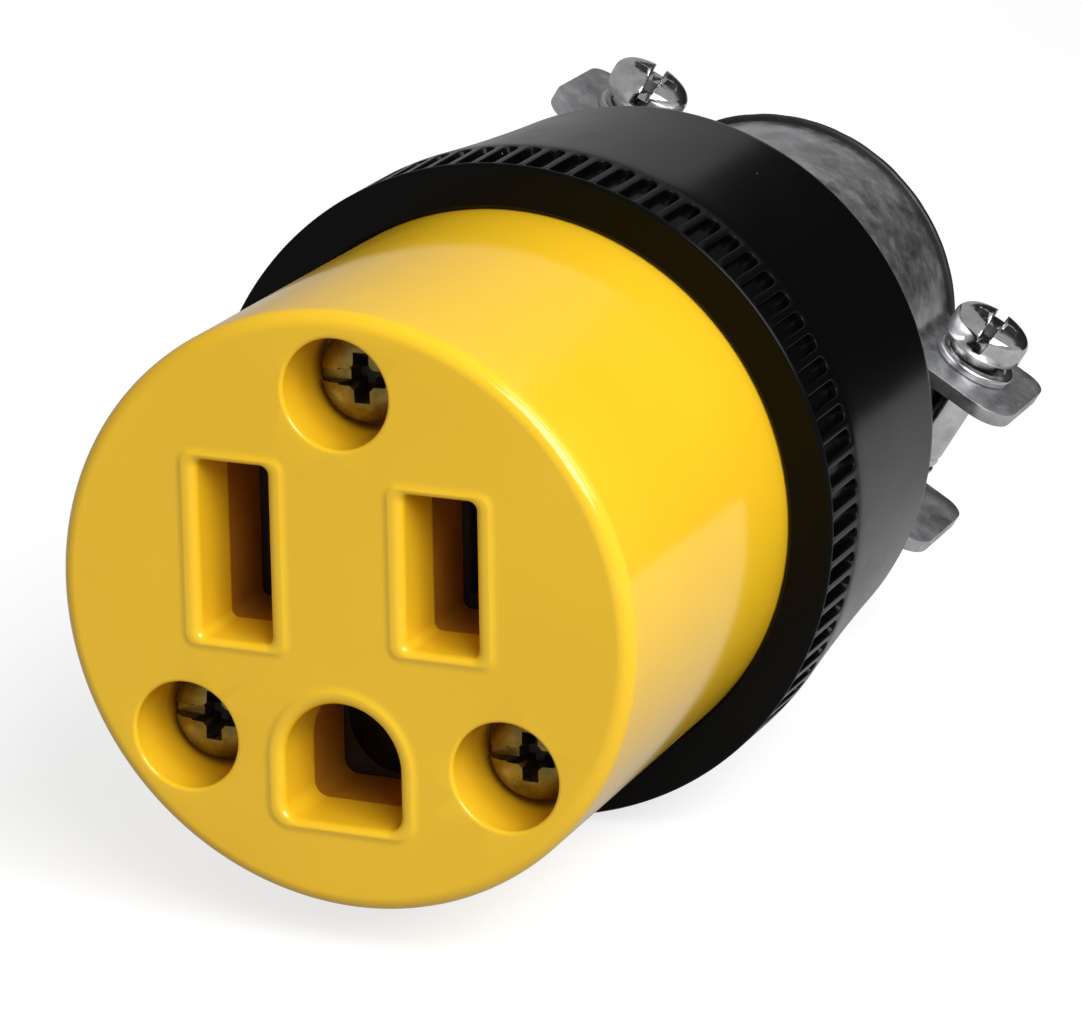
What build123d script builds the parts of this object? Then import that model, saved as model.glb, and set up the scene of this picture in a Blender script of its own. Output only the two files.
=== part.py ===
from build123d import *

import os
from math import cos, radians, sin

# A round female cable connector with two blade slots and a ground hole.
# A moulded front body holds the contacts, a cup-shaped cover closes the back,
# and a two-piece metal cord clamp, standing open, comes out of the cover.
# It lies on the cover: the axis runs along Y and the face looks toward -Y.

# Front body
front_radius = 17.6
front_taper = 0.15
front_length = 31.0
front_wall = 4.1
front_side_wall = 2.1
face_edge_radius = 0.95
pad_height = 0.15
pad_edge_radius = 0.12

# Blade slots and ground hole in the face
blade_spacing = 12.7
blade_shift = -0.2
slot_rise = 3.0
mouth_width = 4.4
neutral_mouth_height = 10.5
hot_mouth_height = 9.1
mouth_corner = 0.5
mouth_lip = 0.35
pad_margin_side = 0.95
pad_margin_end = 0.5
ground_drop = 11.9
ground_mouth_half = 3.6
ground_mouth_bottom = 3.6
ground_corner = 0.9
ground_pad_margin = 0.9

# Three long screws that hold the front body to the cover
low_screw_angle = 40.0
well_radius = 3.2
well_outer_wall = 1.5
well_lip = 0.25
head_sink = 3.6
assembly_head_radius = 2.75
assembly_head_height = 1.9
assembly_shank_radius = 1.75
assembly_screw_tail = 0.8
well_boss_wall = 1.15
well_floor = 1.6
insert_radius = 2.6
insert_length = 5.4
insert_boss_wall = 1.6
insert_boss_floor = 1.8

# Guide plate and contact carrier behind the face
guide_thickness = 4.0
carrier_length = 15.7
chamber_width = 3.6
chamber_margin = 0.35
wire_room_rise = 8.4
wire_room_length = 13.0

# Brass contacts and their terminals
leaf_thickness = 0.8
leaf_gap = 1.5
leaf_setback = 0.9
leaf_lead = 0.4
neutral_contact_height = 8.2
hot_contact_height = 6.6
pin_bore_radius = 2.4
sleeve_setback = 3.7
sleeve_wall = 0.7
sleeve_slit = 1.0
tab_thickness = 0.9
tab_width = 5.4
terminal_side = 7.1
terminal_inset = 9.4
ground_terminal_drop = 2.0
terminal_thread_radius = 1.5
terminal_head_radius = 2.5
terminal_head_height = 1.8
terminal_screw_length = 8.0
wire_plate_size = 5.0
wire_plate_thickness = 0.8

# Rear cover
collar_overlap = 6.5
collar_wall = 2.75
collar_length = 5.2
tail_drop = 1.55
tail_sag = 0.13
clamp_room = 14.1
cover_rear_wall = 3.1
cover_seat_width = 0.7
opening_play = 0.44
cover_front_edge = 0.2
cover_rear_edge = 2.0
opening_edge = 0.8
grip_count = 84
grip_width = 1.0
grip_length = 4.2
grip_depth = 0.55
grip_rim = 0.25

# Cord clamp: two stamped halves, seen as standing open on their screws
clamp_turn = 31.4
clamp_reach = 19.1
sheet = 0.9
arch_radius = 12.1
arch_sink = 5.44
upper_level = 7.0
lower_level = 2.74
flange_play = 1.15
ear_tip = 4.6
ear_length = 8.9
ear_near_corner = 2.3
ear_far_corner = 1.4
bend_radius = 1.2
clamp_screw_out = 1.7
clamp_screw_setback = 3.9
clamp_shank_radius = 1.75
clamp_head_radius = 2.67
clamp_head_height = 2.0
clamp_head_edge = 0.75
clamp_screw_gap = 0.8
clamp_screw_tail = 1.6
thread_collar_radius = 2.7
thread_collar_height = 1.6
washer_radius = 2.7
washer_thickness = 0.6
washer_edge = 0.2

# Black strip round the rear edge of each clamp half
guard_thickness = 0.65
guard_length = 8.0
guard_overhang = 0.4

# Driver recesses
slot_width = 0.8
slot_depth = 0.95
cross_width = 0.9
cross_span = 2.9
cross_depth = 1.3

# Clearances
slide_clearance = 0.1
fit_clearance = 0.2
screw_clearance = 0.25
thread_clearance = 0.02
sliver = 0.01

# Places that follow from the sizes
front_rear_radius = front_radius - front_taper
cover_bore_radius = front_rear_radius + slide_clearance
cover_radius = cover_bore_radius + collar_wall
tail_radius = cover_radius - tail_drop
cover_inner_radius = cover_bore_radius - cover_seat_width
collar_depth = front_length - collar_overlap
collar_end = collar_depth + collar_length
cover_seat_depth = front_length + slide_clearance
cover_end = cover_seat_depth + clamp_room + cover_rear_wall
overall_length = pad_height + cover_end + clamp_reach
face_y = pad_height - overall_length / 2
axis_height = cover_radius
front_cavity_radius = front_rear_radius - front_side_wall
screw_circle = front_radius - well_radius - well_outer_wall
terminal_drop = screw_circle - terminal_inset
carrier_radius = front_cavity_radius - fit_clearance
guide_front = front_wall + slide_clearance
carrier_front = guide_front + guide_thickness + slide_clearance
carrier_end = carrier_front + carrier_length
insert_front = cover_seat_depth + slide_clearance
insert_boss_length = insert_length + insert_boss_floor
assembly_screw_end = insert_front + insert_length + assembly_screw_tail
metal_end = cover_end + clamp_reach - guard_thickness
flange_back = cover_end - cover_rear_wall - slide_clearance
clamp_screw_depth = metal_end - clamp_screw_setback
clamp_screw_side = arch_radius + clamp_screw_out
ear_reach = clamp_screw_side + ear_tip
flange_radius = cover_inner_radius - flange_play
cover_opening_radius = upper_level - arch_sink + arch_radius + opening_play
ground_centre = slot_rise - ground_drop
neutral_x = blade_shift - blade_spacing / 2
hot_x = blade_shift + blade_spacing / 2
well_depth = head_sink + assembly_head_height
well_boss_radius = well_radius + well_boss_wall
well_boss_end = well_depth + well_floor
screw_points = [
    (screw_circle * cos(radians(angle)), screw_circle * sin(radians(angle)))
    for angle in (90.0, 180.0 + low_screw_angle, -low_screw_angle)
]
screw_names = ("top", "left", "right")
axis_centre = Vector(0, face_y, axis_height)
connector_axis = Axis(axis_centre, (0, 1, 0))
profile_plane = Plane(origin=axis_centre, x_dir=(0, 1, 0), z_dir=(1, 0, 0))
clamp_side = Vector(cos(radians(clamp_turn)), 0, -sin(radians(clamp_turn)))
clamp_up = Vector(sin(radians(clamp_turn)), 0, cos(radians(clamp_turn)))


def station(depth):
    """Cross-section plane at a depth behind the face: x to the right, y up, seen from the front."""
    return Plane(origin=axis_centre + Vector(0, depth, 0), x_dir=(1, 0, 0), z_dir=(0, -1, 0))


def level(rise):
    """Level plane at a rise above the axis: x to the right, y to the rear."""
    return Plane(origin=axis_centre + Vector(0, 0, rise), x_dir=(1, 0, 0), z_dir=(0, 0, 1))


def clamp_station(side, depth):
    """Cross-section plane of a clamp half, turned with the clamp. side is 1 above and -1 below."""
    return Plane(
        origin=axis_centre + Vector(0, depth, 0), x_dir=clamp_side * side, z_dir=(0, -1, 0)
    )


def clamp_level(side, rise):
    """Plane across the clamp screws, its normal pointing out of the clamp half."""
    return Plane(
        origin=axis_centre + clamp_up * (side * rise), x_dir=clamp_side * side, z_dir=clamp_up * side
    )


def front_edges(edges, depth):
    """Those edges that lie wholly at one depth behind the face."""
    return edges.filter_by_position(Axis.Y, face_y + depth - sliver, face_y + depth + sliver)


def ground_outline(half_width, bottom):
    """D shape of the ground hole: a half round above, a flat with rounded corners below."""
    x, y = blade_shift, ground_centre
    with BuildSketch() as outline:
        with BuildLine():
            Polyline((x + half_width, y), (x + half_width, y - bottom),
                     (x - half_width, y - bottom), (x - half_width, y))
            ThreePointArc((x - half_width, y), (x, y + half_width), (x + half_width, y))
        make_face()
        fillet(outline.vertices().group_by(Axis.Y)[0], ground_corner)
    return outline.sketch


def mouth_outlines():
    """Outlines of the two blade slots and the ground hole."""
    with BuildSketch() as outlines:
        with Locations((neutral_x, slot_rise)):
            RectangleRounded(mouth_width, neutral_mouth_height, mouth_corner)
        with Locations((hot_x, slot_rise)):
            RectangleRounded(mouth_width, hot_mouth_height, mouth_corner)
        add(ground_outline(ground_mouth_half, ground_mouth_bottom))
    return outlines.sketch


def driver_recess(plane, point, span):
    """The straight slot and the cross that a driver fits, cut down from a plane."""
    with BuildPart() as recess:
        with BuildSketch(plane):
            with Locations(point):
                Rectangle(slot_width, span)
        extrude(amount=-slot_depth)
        with BuildSketch(plane):
            with Locations(point):
                Rectangle(cross_width, cross_span)
                Rectangle(cross_span, cross_width)
        extrude(amount=-cross_depth, taper=12)
    return recess.part


def finish(builder, name):
    """Label a finished piece and write it under its own name."""
    builder.part.label = name
    export_step(builder.part, f"parts/{name}.step")


os.makedirs("parts", exist_ok=True)

# Front body: a slightly tapered cup with the face as its floor
with BuildPart() as front_body:
    with BuildSketch(profile_plane):
        with BuildLine():
            Polyline((0, 0), (0, front_radius), (front_length, front_rear_radius),
                     (front_length, 0), close=True)
        make_face()
    revolve(axis=connector_axis)
    fillet(front_edges(front_body.edges(), 0), face_edge_radius)
    with BuildSketch(station(front_length)):
        Circle(front_cavity_radius)
    extrude(amount=front_length - front_wall, mode=Mode.SUBTRACT)
    with BuildSketch(station(front_wall)):
        with Locations(*screw_points):
            Circle(well_boss_radius)
    extrude(amount=front_wall - well_boss_end)
    # Low pads round the slots and the ground hole
    with BuildSketch(station(0)):
        with Locations((neutral_x, slot_rise)):
            RectangleRounded(mouth_width + 2 * pad_margin_side,
                             neutral_mouth_height + 2 * pad_margin_end, mouth_corner)
        with Locations((hot_x, slot_rise)):
            RectangleRounded(mouth_width + 2 * pad_margin_side,
                             hot_mouth_height + 2 * pad_margin_end, mouth_corner)
        add(ground_outline(ground_mouth_half + ground_pad_margin,
                           ground_mouth_bottom + pad_margin_end))
    extrude(amount=pad_height)
    fillet(front_edges(front_body.edges(Select.LAST), -pad_height), pad_edge_radius)
    # Mouths of the blade slots and of the ground hole
    with BuildSketch(station(-pad_height)):
        add(mouth_outlines())
    extrude(amount=-(pad_height + front_wall), mode=Mode.SUBTRACT)
    fillet(front_edges(front_body.edges(Select.LAST), -pad_height), mouth_lip)
    # Screw wells and the holes through their floors
    with BuildSketch(station(0)):
        with Locations(*screw_points):
            Circle(well_radius)
    extrude(amount=-well_depth, mode=Mode.SUBTRACT)
    fillet(front_edges(front_body.edges(Select.LAST), 0), well_lip)
    with BuildSketch(station(well_depth)):
        with Locations(*screw_points):
            Circle(assembly_shank_radius + screw_clearance)
    extrude(amount=-well_floor, mode=Mode.SUBTRACT)
finish(front_body, "front_body")

# Guide plate: leads the blades and the pin from the mouths to the contacts
with BuildPart() as guide_plate:
    with BuildSketch(station(guide_front)):
        Circle(carrier_radius)
        with Locations(*screw_points):
            Circle(well_boss_radius + fit_clearance, mode=Mode.SUBTRACT)
        add(mouth_outlines(), mode=Mode.SUBTRACT)
    extrude(amount=-guide_thickness)
finish(guide_plate, "guide_plate")

# Contact carrier: an insulating block that fills the front body behind the guide plate
blade_contacts = (
    ("neutral", neutral_x, neutral_contact_height, -terminal_side),
    ("hot", hot_x, hot_contact_height, terminal_side),
)
terminals = (
    ("neutral", (-terminal_side, -terminal_drop)),
    ("hot", (terminal_side, -terminal_drop)),
    ("ground", (blade_shift, -ground_terminal_drop)),
)
terminal_points = [point for _, point in terminals]
sleeve_radius = pin_bore_radius + sleeve_wall
with BuildPart() as contact_carrier:
    with BuildSketch(station(carrier_front)):
        Circle(carrier_radius)
    extrude(amount=-carrier_length)
    with BuildSketch(station(carrier_end)):
        with Locations(*screw_points):
            Circle(assembly_shank_radius + screw_clearance)
    extrude(amount=carrier_length, mode=Mode.SUBTRACT)
    # Room for the wires above the blade chambers
    with BuildSketch(station(carrier_end)):
        with Locations((0, wire_room_rise)):
            Rectangle(2 * carrier_radius, carrier_radius, align=(Align.CENTER, Align.MIN))
    extrude(amount=wire_room_length, mode=Mode.SUBTRACT)
    # Chambers of the blade contacts and of the ground sleeve
    with BuildSketch(station(carrier_end)):
        for _, contact_x, contact_height, _ in blade_contacts:
            with Locations((contact_x, slot_rise)):
                Rectangle(chamber_width, contact_height + 2 * chamber_margin)
        with Locations((blade_shift, ground_centre)):
            Circle(sleeve_radius + fit_clearance)
    extrude(amount=carrier_length, mode=Mode.SUBTRACT)
    with BuildSketch(station(carrier_end)):
        with Locations(*terminal_points):
            Circle(terminal_thread_radius + fit_clearance)
    extrude(amount=terminal_screw_length + fit_clearance, mode=Mode.SUBTRACT)
finish(contact_carrier, "contact_carrier")

# Blade contacts: two leaves that grip the blade, joined to a flat terminal tab
leaf_start = carrier_front + leaf_setback
tab_front = carrier_end + slide_clearance
tab_end = tab_front + tab_thickness
for name, contact_x, contact_height, terminal_x in blade_contacts:
    with BuildPart() as blade_contact:
        with BuildSketch(level(slot_rise)):
            with Locations((contact_x, (leaf_start + tab_end) / 2)):
                Rectangle(leaf_gap + 2 * leaf_thickness, tab_end - leaf_start)
            with Locations((contact_x, (leaf_start + tab_front) / 2)):
                Rectangle(leaf_gap, tab_front - leaf_start, mode=Mode.SUBTRACT)
        extrude(amount=contact_height / 2, both=True)
        tips = blade_contact.edges().filter_by(Axis.Z).group_by(Axis.Y)[0].sort_by(Axis.X)
        chamfer(tips[1:3], leaf_lead)
        with BuildSketch(station(tab_front)):
            with Locations((terminal_x, (slot_rise - terminal_drop - tab_width / 2) / 2)):
                Rectangle(tab_width, slot_rise + terminal_drop + tab_width / 2)
        extrude(amount=-tab_thickness)
        with BuildSketch(station(tab_front)):
            with Locations((terminal_x, -terminal_drop)):
                Circle(terminal_thread_radius + thread_clearance)
        extrude(amount=-tab_thickness, mode=Mode.SUBTRACT)
    finish(blade_contact, f"{name}_contact")

# Ground contact: a slit sleeve round the pin, with its tab turned up toward the axis
sleeve_start = carrier_front + sleeve_setback
with BuildPart() as ground_contact:
    with BuildSketch(station(sleeve_start)):
        with Locations((blade_shift, ground_centre)):
            Circle(sleeve_radius)
            Circle(pin_bore_radius, mode=Mode.SUBTRACT)
        with Locations((blade_shift, ground_centre - sleeve_radius)):
            Rectangle(sleeve_slit, 2 * sleeve_wall + sliver, mode=Mode.SUBTRACT)
    extrude(amount=sleeve_start - tab_end)
    with BuildSketch(station(tab_front)):
        with Locations((blade_shift, ground_centre)):
            Circle(sleeve_radius)
        with Locations((blade_shift, (ground_centre - ground_terminal_drop + tab_width / 2) / 2)):
            Rectangle(tab_width, tab_width / 2 - ground_terminal_drop - ground_centre)
        with Locations((blade_shift, -ground_terminal_drop)):
            Circle(terminal_thread_radius + thread_clearance, mode=Mode.SUBTRACT)
    extrude(amount=-tab_thickness)
finish(ground_contact, "ground_contact")

# Terminal screws with their wire plates, screwed down on the tabs
plate_front = tab_end
plate_end = plate_front + wire_plate_thickness
for name, point in terminals:
    with BuildPart() as wire_plate:
        with BuildSketch(station(plate_front)):
            with Locations(point):
                Rectangle(wire_plate_size, wire_plate_size)
                Circle(terminal_thread_radius + fit_clearance, mode=Mode.SUBTRACT)
        extrude(amount=-wire_plate_thickness)
    finish(wire_plate, f"{name}_wire_plate")
    with BuildPart() as terminal_screw:
        with BuildSketch(station(plate_end)):
            with Locations(point):
                Circle(terminal_head_radius)
        extrude(amount=-terminal_head_height)
        with BuildSketch(station(plate_end)):
            with Locations(point):
                Circle(terminal_thread_radius)
        extrude(amount=terminal_screw_length)
        with BuildSketch(station(plate_end + terminal_head_height)):
            with Locations(point):
                Rectangle(slot_width, 2 * terminal_head_radius)
        extrude(amount=slot_depth, mode=Mode.SUBTRACT)
    finish(terminal_screw, f"{name}_terminal_screw")

# Assembly screws, sunk in their wells, and the inserts they thread into
for name, point in zip(screw_names, screw_points):
    with BuildPart() as assembly_screw:
        with BuildSketch(station(head_sink)):
            with Locations(point):
                Circle(assembly_head_radius)
        extrude(amount=-assembly_head_height)
        fillet(front_edges(assembly_screw.edges(), head_sink), clamp_head_edge)
        with BuildSketch(station(well_depth)):
            with Locations(point):
                Circle(assembly_shank_radius)
        extrude(amount=well_depth - assembly_screw_end)
        add(driver_recess(station(head_sink), point, 2 * assembly_head_radius), mode=Mode.SUBTRACT)
    finish(assembly_screw, f"assembly_screw_{name}")
    with BuildPart() as threaded_insert:
        with BuildSketch(station(insert_front)):
            with Locations(point):
                Circle(insert_radius)
                Circle(assembly_shank_radius + thread_clearance, mode=Mode.SUBTRACT)
        extrude(amount=-insert_length)
    finish(threaded_insert, f"threaded_insert_{name}")

# Rear cover: a cup with a round opening for the clamp and a ring of grip pockets
with BuildPart() as grip_pocket:
    pocket_floor = level(cover_radius - grip_depth)
    pocket_start = collar_depth + grip_rim
    straight = grip_length - grip_width / 2
    with BuildSketch(pocket_floor):
        with Locations((0, pocket_start + straight / 2)):
            Rectangle(grip_width, straight)
        with Locations((0, pocket_start + straight)):
            Circle(grip_width / 2)
    extrude(amount=2 * grip_depth)
grip_cutter = grip_pocket.part

with BuildPart() as rear_cover:
    with BuildSketch(profile_plane):
        with BuildLine():
            Polyline((collar_end, cover_radius), (collar_depth, cover_radius),
                     (collar_depth, cover_bore_radius), (cover_seat_depth, cover_bore_radius),
                     (cover_seat_depth, cover_inner_radius),
                     (cover_end - cover_rear_wall, cover_inner_radius),
                     (cover_end - cover_rear_wall, cover_opening_radius),
                     (cover_end, cover_opening_radius), (cover_end, tail_radius))
            # The cover narrows in a slight hollow curve behind its collar
            ThreePointArc((cover_end, tail_radius),
                          ((collar_end + cover_end) / 2,
                           (cover_radius + tail_radius) / 2 - tail_sag),
                          (collar_end, cover_radius))
        make_face()
    revolve(axis=connector_axis)
    circles = rear_cover.edges().filter_by(GeomType.CIRCLE)
    fillet(front_edges(circles, collar_depth).sort_by(SortBy.RADIUS)[-1], cover_front_edge)
    circles = rear_cover.edges().filter_by(GeomType.CIRCLE)
    fillet(front_edges(circles, cover_end).sort_by(SortBy.RADIUS)[-1], cover_rear_edge)
    circles = rear_cover.edges().filter_by(GeomType.CIRCLE)
    fillet(front_edges(circles, cover_end).sort_by(SortBy.RADIUS)[0], opening_edge)
    with BuildSketch(station(insert_front)):
        with Locations(*screw_points):
            Circle(insert_radius + insert_boss_wall)
    extrude(amount=-insert_boss_length)
    with BuildSketch(station(insert_front)):
        with Locations(*screw_points):
            Circle(insert_radius + thread_clearance)
    extrude(amount=-insert_length, mode=Mode.SUBTRACT)
    with BuildSketch(station(insert_front)):
        with Locations(*screw_points):
            Circle(assembly_shank_radius + screw_clearance)
    extrude(amount=-insert_boss_length, mode=Mode.SUBTRACT)
    add(
        [grip_cutter.rotate(connector_axis, 360 * turn / grip_count) for turn in range(grip_count)],
        mode=Mode.SUBTRACT,
    )
finish(rear_cover, "rear_cover")

# Clamp halves: an arch with two ears at the back and a lip held behind the cover's wall
half_room = 4 * arch_radius
for name, side, mate in (("upper", 1, upper_level), ("lower", -1, lower_level)):
    arch_centre = mate - arch_sink
    with BuildPart() as clamp_half:
        with BuildSketch(clamp_station(side, metal_end)):
            with Locations((0, arch_centre)):
                Circle(arch_radius)
            with Locations((0, mate)):
                Rectangle(half_room, half_room, align=(Align.CENTER, Align.MAX), mode=Mode.SUBTRACT)
        extrude(amount=metal_end - flange_back + sheet)
        with BuildSketch(clamp_level(side, mate)) as ears:
            with Locations((0, metal_end)):
                Rectangle(2 * ear_reach, ear_length, align=(Align.CENTER, Align.MAX))
            fillet(ears.vertices().group_by(Axis.Y)[0], ear_near_corner)
            fillet(ears.vertices().group_by(Axis.Y)[-1], ear_far_corner)
        extrude(amount=sheet)
        # Round the outer bend between the arch and each ear
        ear_plane = clamp_level(side, mate + sheet)
        bends = clamp_half.edges().filter_by(Axis.Y).filter_by(
            lambda edge: abs(ear_plane.to_local_coords(edge.center()).Z) < sliver
            and abs(ear_plane.to_local_coords(edge.center()).X) < arch_radius)
        fillet(bends, bend_radius)
        with BuildSketch(clamp_station(side, flange_back)):
            Circle(flange_radius)
            with Locations((0, mate)):
                Rectangle(half_room, half_room, align=(Align.CENTER, Align.MAX), mode=Mode.SUBTRACT)
        extrude(amount=sheet)
        with BuildSketch(clamp_station(side, metal_end)):
            with Locations((0, arch_centre)):
                Circle(arch_radius - sheet)
        extrude(amount=metal_end - flange_back + sheet, mode=Mode.SUBTRACT)
        hole_radius = clamp_shank_radius + (screw_clearance if side > 0 else thread_clearance)
        if side < 0:
            with BuildSketch(clamp_level(side, mate + sheet)):
                with Locations((-clamp_screw_side, clamp_screw_depth),
                               (clamp_screw_side, clamp_screw_depth)):
                    Circle(thread_collar_radius)
            extrude(amount=thread_collar_height)
        with BuildSketch(clamp_level(side, mate)):
            with Locations((-clamp_screw_side, clamp_screw_depth),
                           (clamp_screw_side, clamp_screw_depth)):
                Circle(hole_radius)
        extrude(amount=sheet + thread_collar_height, mode=Mode.SUBTRACT)
    finish(clamp_half, f"clamp_{name}")

    # The strip's lip covers the sheet's end and its sleeve lines the arch
    with BuildPart() as edge_guard:
        with BuildSketch(clamp_station(side, metal_end + guard_thickness)):
            with Locations((0, arch_centre)):
                Circle(arch_radius + guard_overhang)
                Circle(arch_radius - sheet - guard_thickness, mode=Mode.SUBTRACT)
            with Locations((0, mate)):
                Rectangle(half_room, half_room, align=(Align.CENTER, Align.MAX), mode=Mode.SUBTRACT)
        extrude(amount=guard_thickness)
        with BuildSketch(clamp_station(side, metal_end)):
            with Locations((0, arch_centre)):
                Circle(arch_radius - sheet)
                Circle(arch_radius - sheet - guard_thickness, mode=Mode.SUBTRACT)
            with Locations((0, mate)):
                Rectangle(half_room, half_room, align=(Align.CENTER, Align.MAX), mode=Mode.SUBTRACT)
        extrude(amount=guard_length)
    finish(edge_guard, f"edge_guard_{name}")

# Clamp screws and the washers under their heads
ear_top = upper_level + sheet
head_seat = ear_top + washer_thickness + clamp_screw_gap
screw_foot = -(lower_level + sheet + thread_collar_height + clamp_screw_tail)
for name, side_x in (("left", -clamp_screw_side), ("right", clamp_screw_side)):
    point = (side_x, clamp_screw_depth)
    with BuildPart() as clamp_washer:
        with BuildSketch(clamp_level(1, ear_top)):
            with Locations(point):
                Circle(washer_radius)
                Circle(clamp_shank_radius + screw_clearance, mode=Mode.SUBTRACT)
        extrude(amount=washer_thickness)
        rims = clamp_washer.edges().filter_by(GeomType.CIRCLE).sort_by(SortBy.RADIUS)
        fillet(rims[-2:], washer_edge)
    finish(clamp_washer, f"clamp_washer_{name}")
    with BuildPart() as clamp_screw:
        with BuildSketch(clamp_level(1, head_seat)):
            with Locations(point):
                Circle(clamp_head_radius)
        extrude(amount=clamp_head_height)
        top = clamp_screw.faces().sort_by(Axis(axis_centre, clamp_up))[-1]
        fillet(top.edges(), clamp_head_edge)
        with BuildSketch(clamp_level(1, head_seat)):
            with Locations(point):
                Circle(clamp_shank_radius)
        extrude(amount=screw_foot - head_seat)
        head_top = clamp_level(1, head_seat + clamp_head_height)
        add(driver_recess(head_top, point, 2 * clamp_head_radius), mode=Mode.SUBTRACT)
    finish(clamp_screw, f"clamp_screw_{name}")
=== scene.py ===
from math import acos, asin, atan2, cos, degrees, hypot, pi, radians, sin, sqrt

import bmesh
import bpy
from mathutils import Matrix, Vector, noise


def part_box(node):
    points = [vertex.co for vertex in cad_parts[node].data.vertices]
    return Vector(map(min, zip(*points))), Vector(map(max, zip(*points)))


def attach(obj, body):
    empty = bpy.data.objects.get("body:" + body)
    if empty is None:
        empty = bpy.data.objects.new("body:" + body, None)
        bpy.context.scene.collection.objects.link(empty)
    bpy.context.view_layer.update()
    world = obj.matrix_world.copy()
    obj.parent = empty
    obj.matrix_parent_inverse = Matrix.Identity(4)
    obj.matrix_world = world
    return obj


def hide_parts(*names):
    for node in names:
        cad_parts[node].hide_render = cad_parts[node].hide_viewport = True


# The looks of the cable connector: detailed pieces, materials, studio and camera.
# Sizes are in millimetres, in the connector's own directions: x to the right as the
# face is looked at, rise up from the axis, depth back from the face.

MM = 0.001

# Front body
FRONT_RADIUS = 17.6
FRONT_TAPER = 0.15
FRONT_LENGTH = 31.0
FRONT_WALL = 4.1
CAVITY_RADIUS = 15.35
REAR_CHAMFER = 0.3
FACE_EDGE = 0.95
PAD_HEIGHT = 0.15
PAD_RISE = 0.12
MOUTH_WIDTH = 4.4
MOUTH_CORNER = 0.5
MOUTH_LIP = 0.6
MOUTH_END_LIP = 0.34
PAD_CORNER = 0.7
PAD_MARGIN_SIDE = 0.95
PAD_MARGIN_END = 0.5
SLOT_RISE = 3.0
BLADE_MOUTHS = ((-6.55, 10.5), (6.15, 9.1))
GROUND_X = -0.2
GROUND_RISE = -8.9
GROUND_MOUTH = (3.6, 3.6, 0.9)
GROUND_PAD = (4.5, 4.1, 1.2)

# Screw wells and the screws in them
SCREW_POINTS = {"top": (0.0, 12.9), "left": (-9.882, -8.292), "right": (9.882, -8.292)}
WELL_RADIUS = 3.2
WELL_LIP = 0.25
WELL_DEPTH = 5.5
WELL_FLOOR = 1.6
BOSS_RADIUS = 4.35
SHANK_HOLE = 2.0
ASSEMBLY_HEAD = (2.75, 1.9)
ASSEMBLY_SHANK = 1.75
ASSEMBLY_END = 37.4
ASSEMBLY_THREAD = 8.0

# Heads and threads of both kinds of screw
HEAD_EDGE = 0.8
HEAD_DOME = 0.12
SLOT_DEPTH = 0.85
CROSS_DEPTH = 1.5
CROSS_REACH = 1.5
THREAD_PITCH = 0.7
THREAD_ROW = THREAD_PITCH / 8

# Rear cover
COLLAR_DEPTH = 24.5
COVER_RADIUS = 20.3
COLLAR_END = 29.7
COVER_END = 48.3
TAIL_RADIUS = 18.75
TAIL_SAG = 0.13
COVER_BORE = 17.55
COVER_INNER = 16.85
COVER_SEAT = 31.1
COVER_REAR_WALL = 3.1
OPENING_RADIUS = 14.1
COVER_FRONT_EDGE = 0.2
BORE_CHAMFER = 0.2
COVER_REAR_EDGE = 2.0
OPENING_EDGE = 0.8
GRIP_COUNT = 84
GRIP_WIDTH = 1.0
GRIP_START = 24.82
GRIP_END = 28.95
GRIP_DEPTH = 0.55
GRIP_LIP = 0.08
INSERT_RADIUS = 2.62
INSERT_LENGTH = 5.4
INSERT_BOSS_RADIUS = 4.2
INSERT_BOSS_END = 38.4

# Cord clamp
CLAMP_TURN = radians(31.4)
SHEET = 0.9
ARCH_RADIUS = 12.1
ARCH_SINK = 5.44
UPPER_LEVEL = 7.0
LOWER_LEVEL = 2.74
FLANGE_RADIUS = 15.7
FLANGE_DEPTH = 44.65
METAL_END = 66.75
EAR_START = 57.85
EAR_REACH = 18.4
EAR_NEAR_CORNER = 2.3
EAR_FAR_CORNER = 1.4
BEND_RADIUS = 1.2
CLAMP_SCREW_SIDE = 13.8
CLAMP_SCREW_DEPTH = 62.85
CLAMP_HEAD = (2.67, 2.0)
CLAMP_SHANK = 1.75
HEAD_SEAT = 9.3
SCREW_FOOT = -6.84
THREAD_TOP = 1.2
WASHER = (2.7, 0.6)
WASHER_SHIFT = 0.2
WASHER_EDGE = 0.22
COLLAR = (2.7, 1.6)
GUARD = 0.65
GUARD_LENGTH = 8.0
GUARD_OVERHANG = 0.4
GUARD_EDGE = 0.22

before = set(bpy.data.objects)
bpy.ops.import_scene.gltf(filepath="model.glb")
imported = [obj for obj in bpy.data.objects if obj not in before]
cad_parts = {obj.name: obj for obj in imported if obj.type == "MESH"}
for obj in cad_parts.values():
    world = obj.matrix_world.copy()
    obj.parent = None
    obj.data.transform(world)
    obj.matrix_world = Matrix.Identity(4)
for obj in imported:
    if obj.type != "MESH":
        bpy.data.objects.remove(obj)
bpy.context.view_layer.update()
body_low, body_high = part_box("front_body")
FACE_Y = body_low.y / MM + PAD_HEIGHT
AXIS_Z = (body_low.z + body_high.z) / 2 / MM
CLAMP_ACROSS = Vector((cos(CLAMP_TURN), 0, -sin(CLAMP_TURN)))
CLAMP_UP = Vector((sin(CLAMP_TURN), 0, cos(CLAMP_TURN)))
AXIS_POINT = Vector((0, FACE_Y, AXIS_Z))


def place(x, rise, depth):
    """A point of the connector in the row frame, in millimetres."""
    return Vector((x, FACE_Y + depth, AXIS_Z + rise))


def clamp_place(side, across, rise, depth):
    """A point of a clamp half: side is 1 for the upper half and -1 for the lower."""
    return (AXIS_POINT + CLAMP_ACROSS * (side * across) + CLAMP_UP * (side * rise)
            + Vector((0, depth, 0)))


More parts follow.
